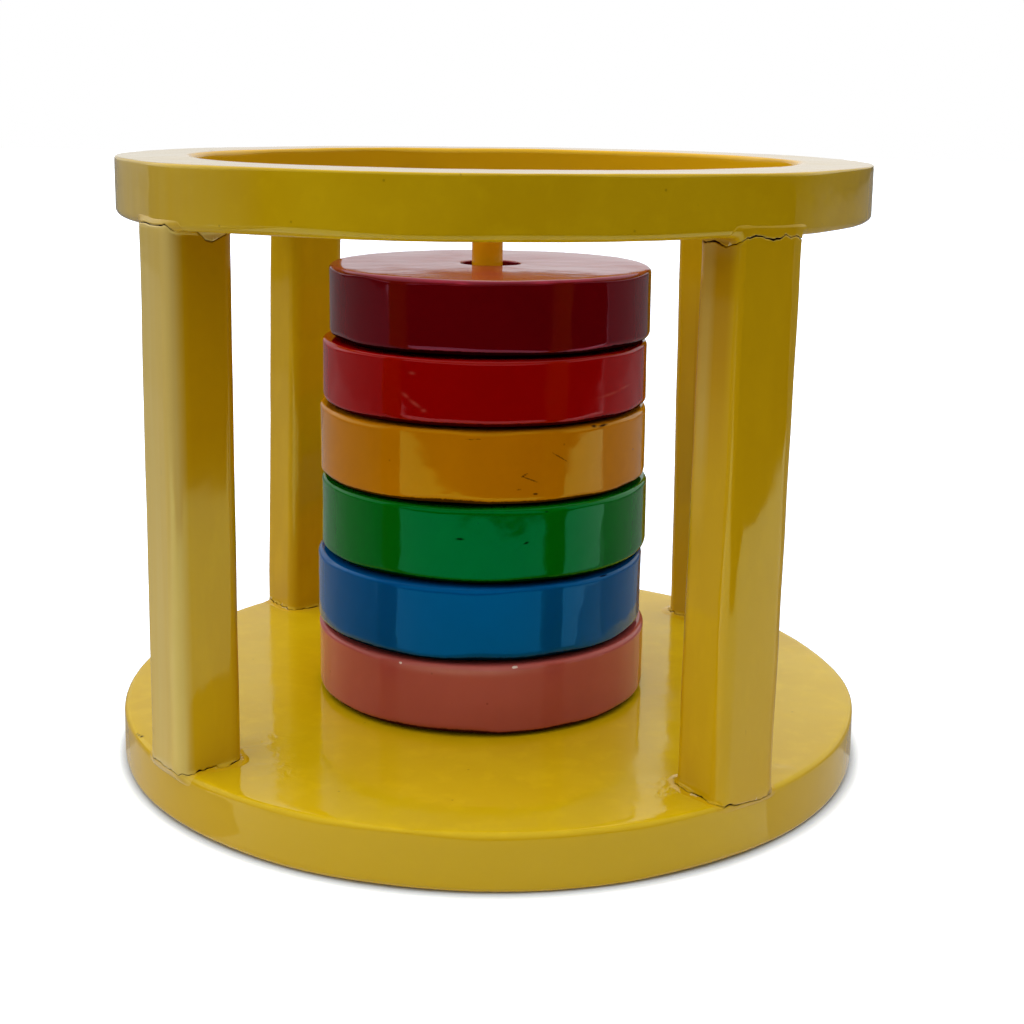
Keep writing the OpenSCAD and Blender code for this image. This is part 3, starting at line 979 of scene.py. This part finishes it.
def surround():
    """White to the eye and to the gloss; as a light, it differs by its height and its side."""
    world = bpy.data.worlds.new("surround")
    world.use_nodes = True
    tree = world.node_tree
    aim = add_node(tree, "SeparateXYZ", {0: add_node(tree, "TexCoord").outputs["Generated"]}).outputs
    # How level a direction is, kept over 0 because the sides' shares are divided by it
    level = maths(tree, "MAXIMUM", maths(tree, "SUBTRACT", 1.0, maths(tree, "POWER", aim["Z"], 2.0)), 0.0001)
    low = ramp(tree, aim["Z"], *LOW_TO_HIGH, 1.0, 0.0)
    top = ramp(tree, aim["Z"], *HIGH_TO_TOP)
    high = maths(tree, "SUBTRACT", maths(tree, "SUBTRACT", 1.0, low), top)
    light = maths(tree, "MULTIPLY", top, LIGHT_TOP)
    sides = (("Y", -1.0), ("Y", 1.0), ("X", -1.0), ("X", 1.0))
    for (axis, sign), low_light, high_light in zip(sides, LIGHT_LOW, LIGHT_HIGH):
        toward = maths(tree, "MAXIMUM", maths(tree, "MULTIPLY", aim[axis], sign), 0.0)
        share = maths(tree, "DIVIDE", maths(tree, "POWER", toward, 2.0), level)
        side = maths(tree, "ADD", maths(tree, "MULTIPLY", low, low_light),
                     maths(tree, "MULTIPLY", high, high_light))
        light = maths(tree, "ADD", light, maths(tree, "MULTIPLY", side, share))
    strength = add_node(tree, "Mix", {0: seen_directly(tree), 2: light, 3: 1.0}).outputs[0]
    tree.links.new(strength, tree.nodes["Background"].inputs["Strength"])
    tree.nodes["Background"].inputs["Color"].default_value = rgba((1, 1, 1))
    bpy.context.scene.world = world


def set_floors():
    """The floor that the camera sees, and under it the one that the light and the gloss find."""
    whole = [(-FAR, -FAR), (FAR, -FAR), (FAR, FAR), (-FAR, FAR)]
    floor = stage_plane("floor", lying(0, *whole), floor_material())
    floor.visible_diffuse = False
    floor.visible_glossy = False
    floor.visible_shadow = False
    under = stage_plane("under_floor", lying(UNDER_FLOOR_Z, *whole), under_floor_material())
    under.visible_camera = False


def set_flags():
    """Dark flags in front of the toy and dim ones at its sides, which bound a white sheet under it."""
    dark = card_material("dark_card", 0.012)
    dim = card_material("dim_card", 0.16)
    # The sheet's front edge, from the right to the left
    sheet_front = [(0.60, -0.02), (0.415, -0.188), (-0.01, -0.334), (-0.46, -0.36)]
    set_flag("front_flag", lying(FLAG_Z, (-FAR, -FAR), (FAR, -FAR), (FAR, -0.02), *sheet_front,
                                 (-FAR, -0.40)), dark)
    set_flag("front_wall", standing((-FAR, -3), (FAR, -3), 0.7), dark)
    set_flag("left_flag", lying(FLAG_Z, (-0.141, -0.02), (-1.543, 4.7), (-FAR, 4.7), (-FAR, -0.30),
                                (-0.46, -0.30)), dim)
    set_flag("right_flag", lying(FLAG_Z, (0.15, -0.02), (0.60, -0.015), (FAR, -0.015), (FAR, 4.7),
                                 (1.666, 4.7)), dim)
    set_flag("left_wall", standing((-4, -3), (-1.52, 4.6), 0.5, 0.3), dim)
    set_flag("right_wall", standing((1.65, 4.6), (4, -3), 0.3, 0.5), dim)


def set_room():
    """What the gloss shows of the room: a dim floor beside and behind the toy, a dark far left and a grey
    backdrop."""
    set_gloss_card("near_floor", lying(CARD_Z, (-0.6, -0.075), (-0.112, -0.075), (-0.112, -0.02),
                                       (0.30, -0.02), (0.60, -0.02), (0.60, 0.40), (-0.6, 0.40)), 0.30)
    set_gloss_card("left_of_base", lying(CARD_Z, (-0.112, -0.085), (-0.07, -0.085), (-0.07, -0.02),
                                         (-0.112, -0.02)), 0.5)
    set_gloss_card("right_of_base", lying(CARD_Z, (0.07, -0.075), (0.16, -0.075), (0.30, -0.02),
                                          (0.07, -0.02)), 0.55)
    set_gloss_card("far_floor", lying(CARD_Z, (-0.6, 0.40), (0.6, 0.40), (3.0, 4.5), (-4.2, 4.5)), 0.22)
    set_gloss_card("far_left", standing((-1.2, -0.6), (-1.2, 0.85), 0.16), 0.03)
    set_gloss_card("left_backdrop", standing((-1.45, 4.5), (-2.6, 1.2), 0.3), 0.25)
    set_gloss_card("backdrop", standing((-5, 4.7), (5, 4.7), 2.6), 0.55, 0.8)


def set_stage():
    set_floors()
    set_flags()
    set_room()
    surround()
    bpy.context.scene.view_settings.view_transform = "Standard"


make_base()
make_ring()
make_peg()
for paint in DISC_PAINTS:
    make_disc(paint)
for post in POST_SKEWS:
    make_post(post)
dress_pins()
place_camera()
set_stage()
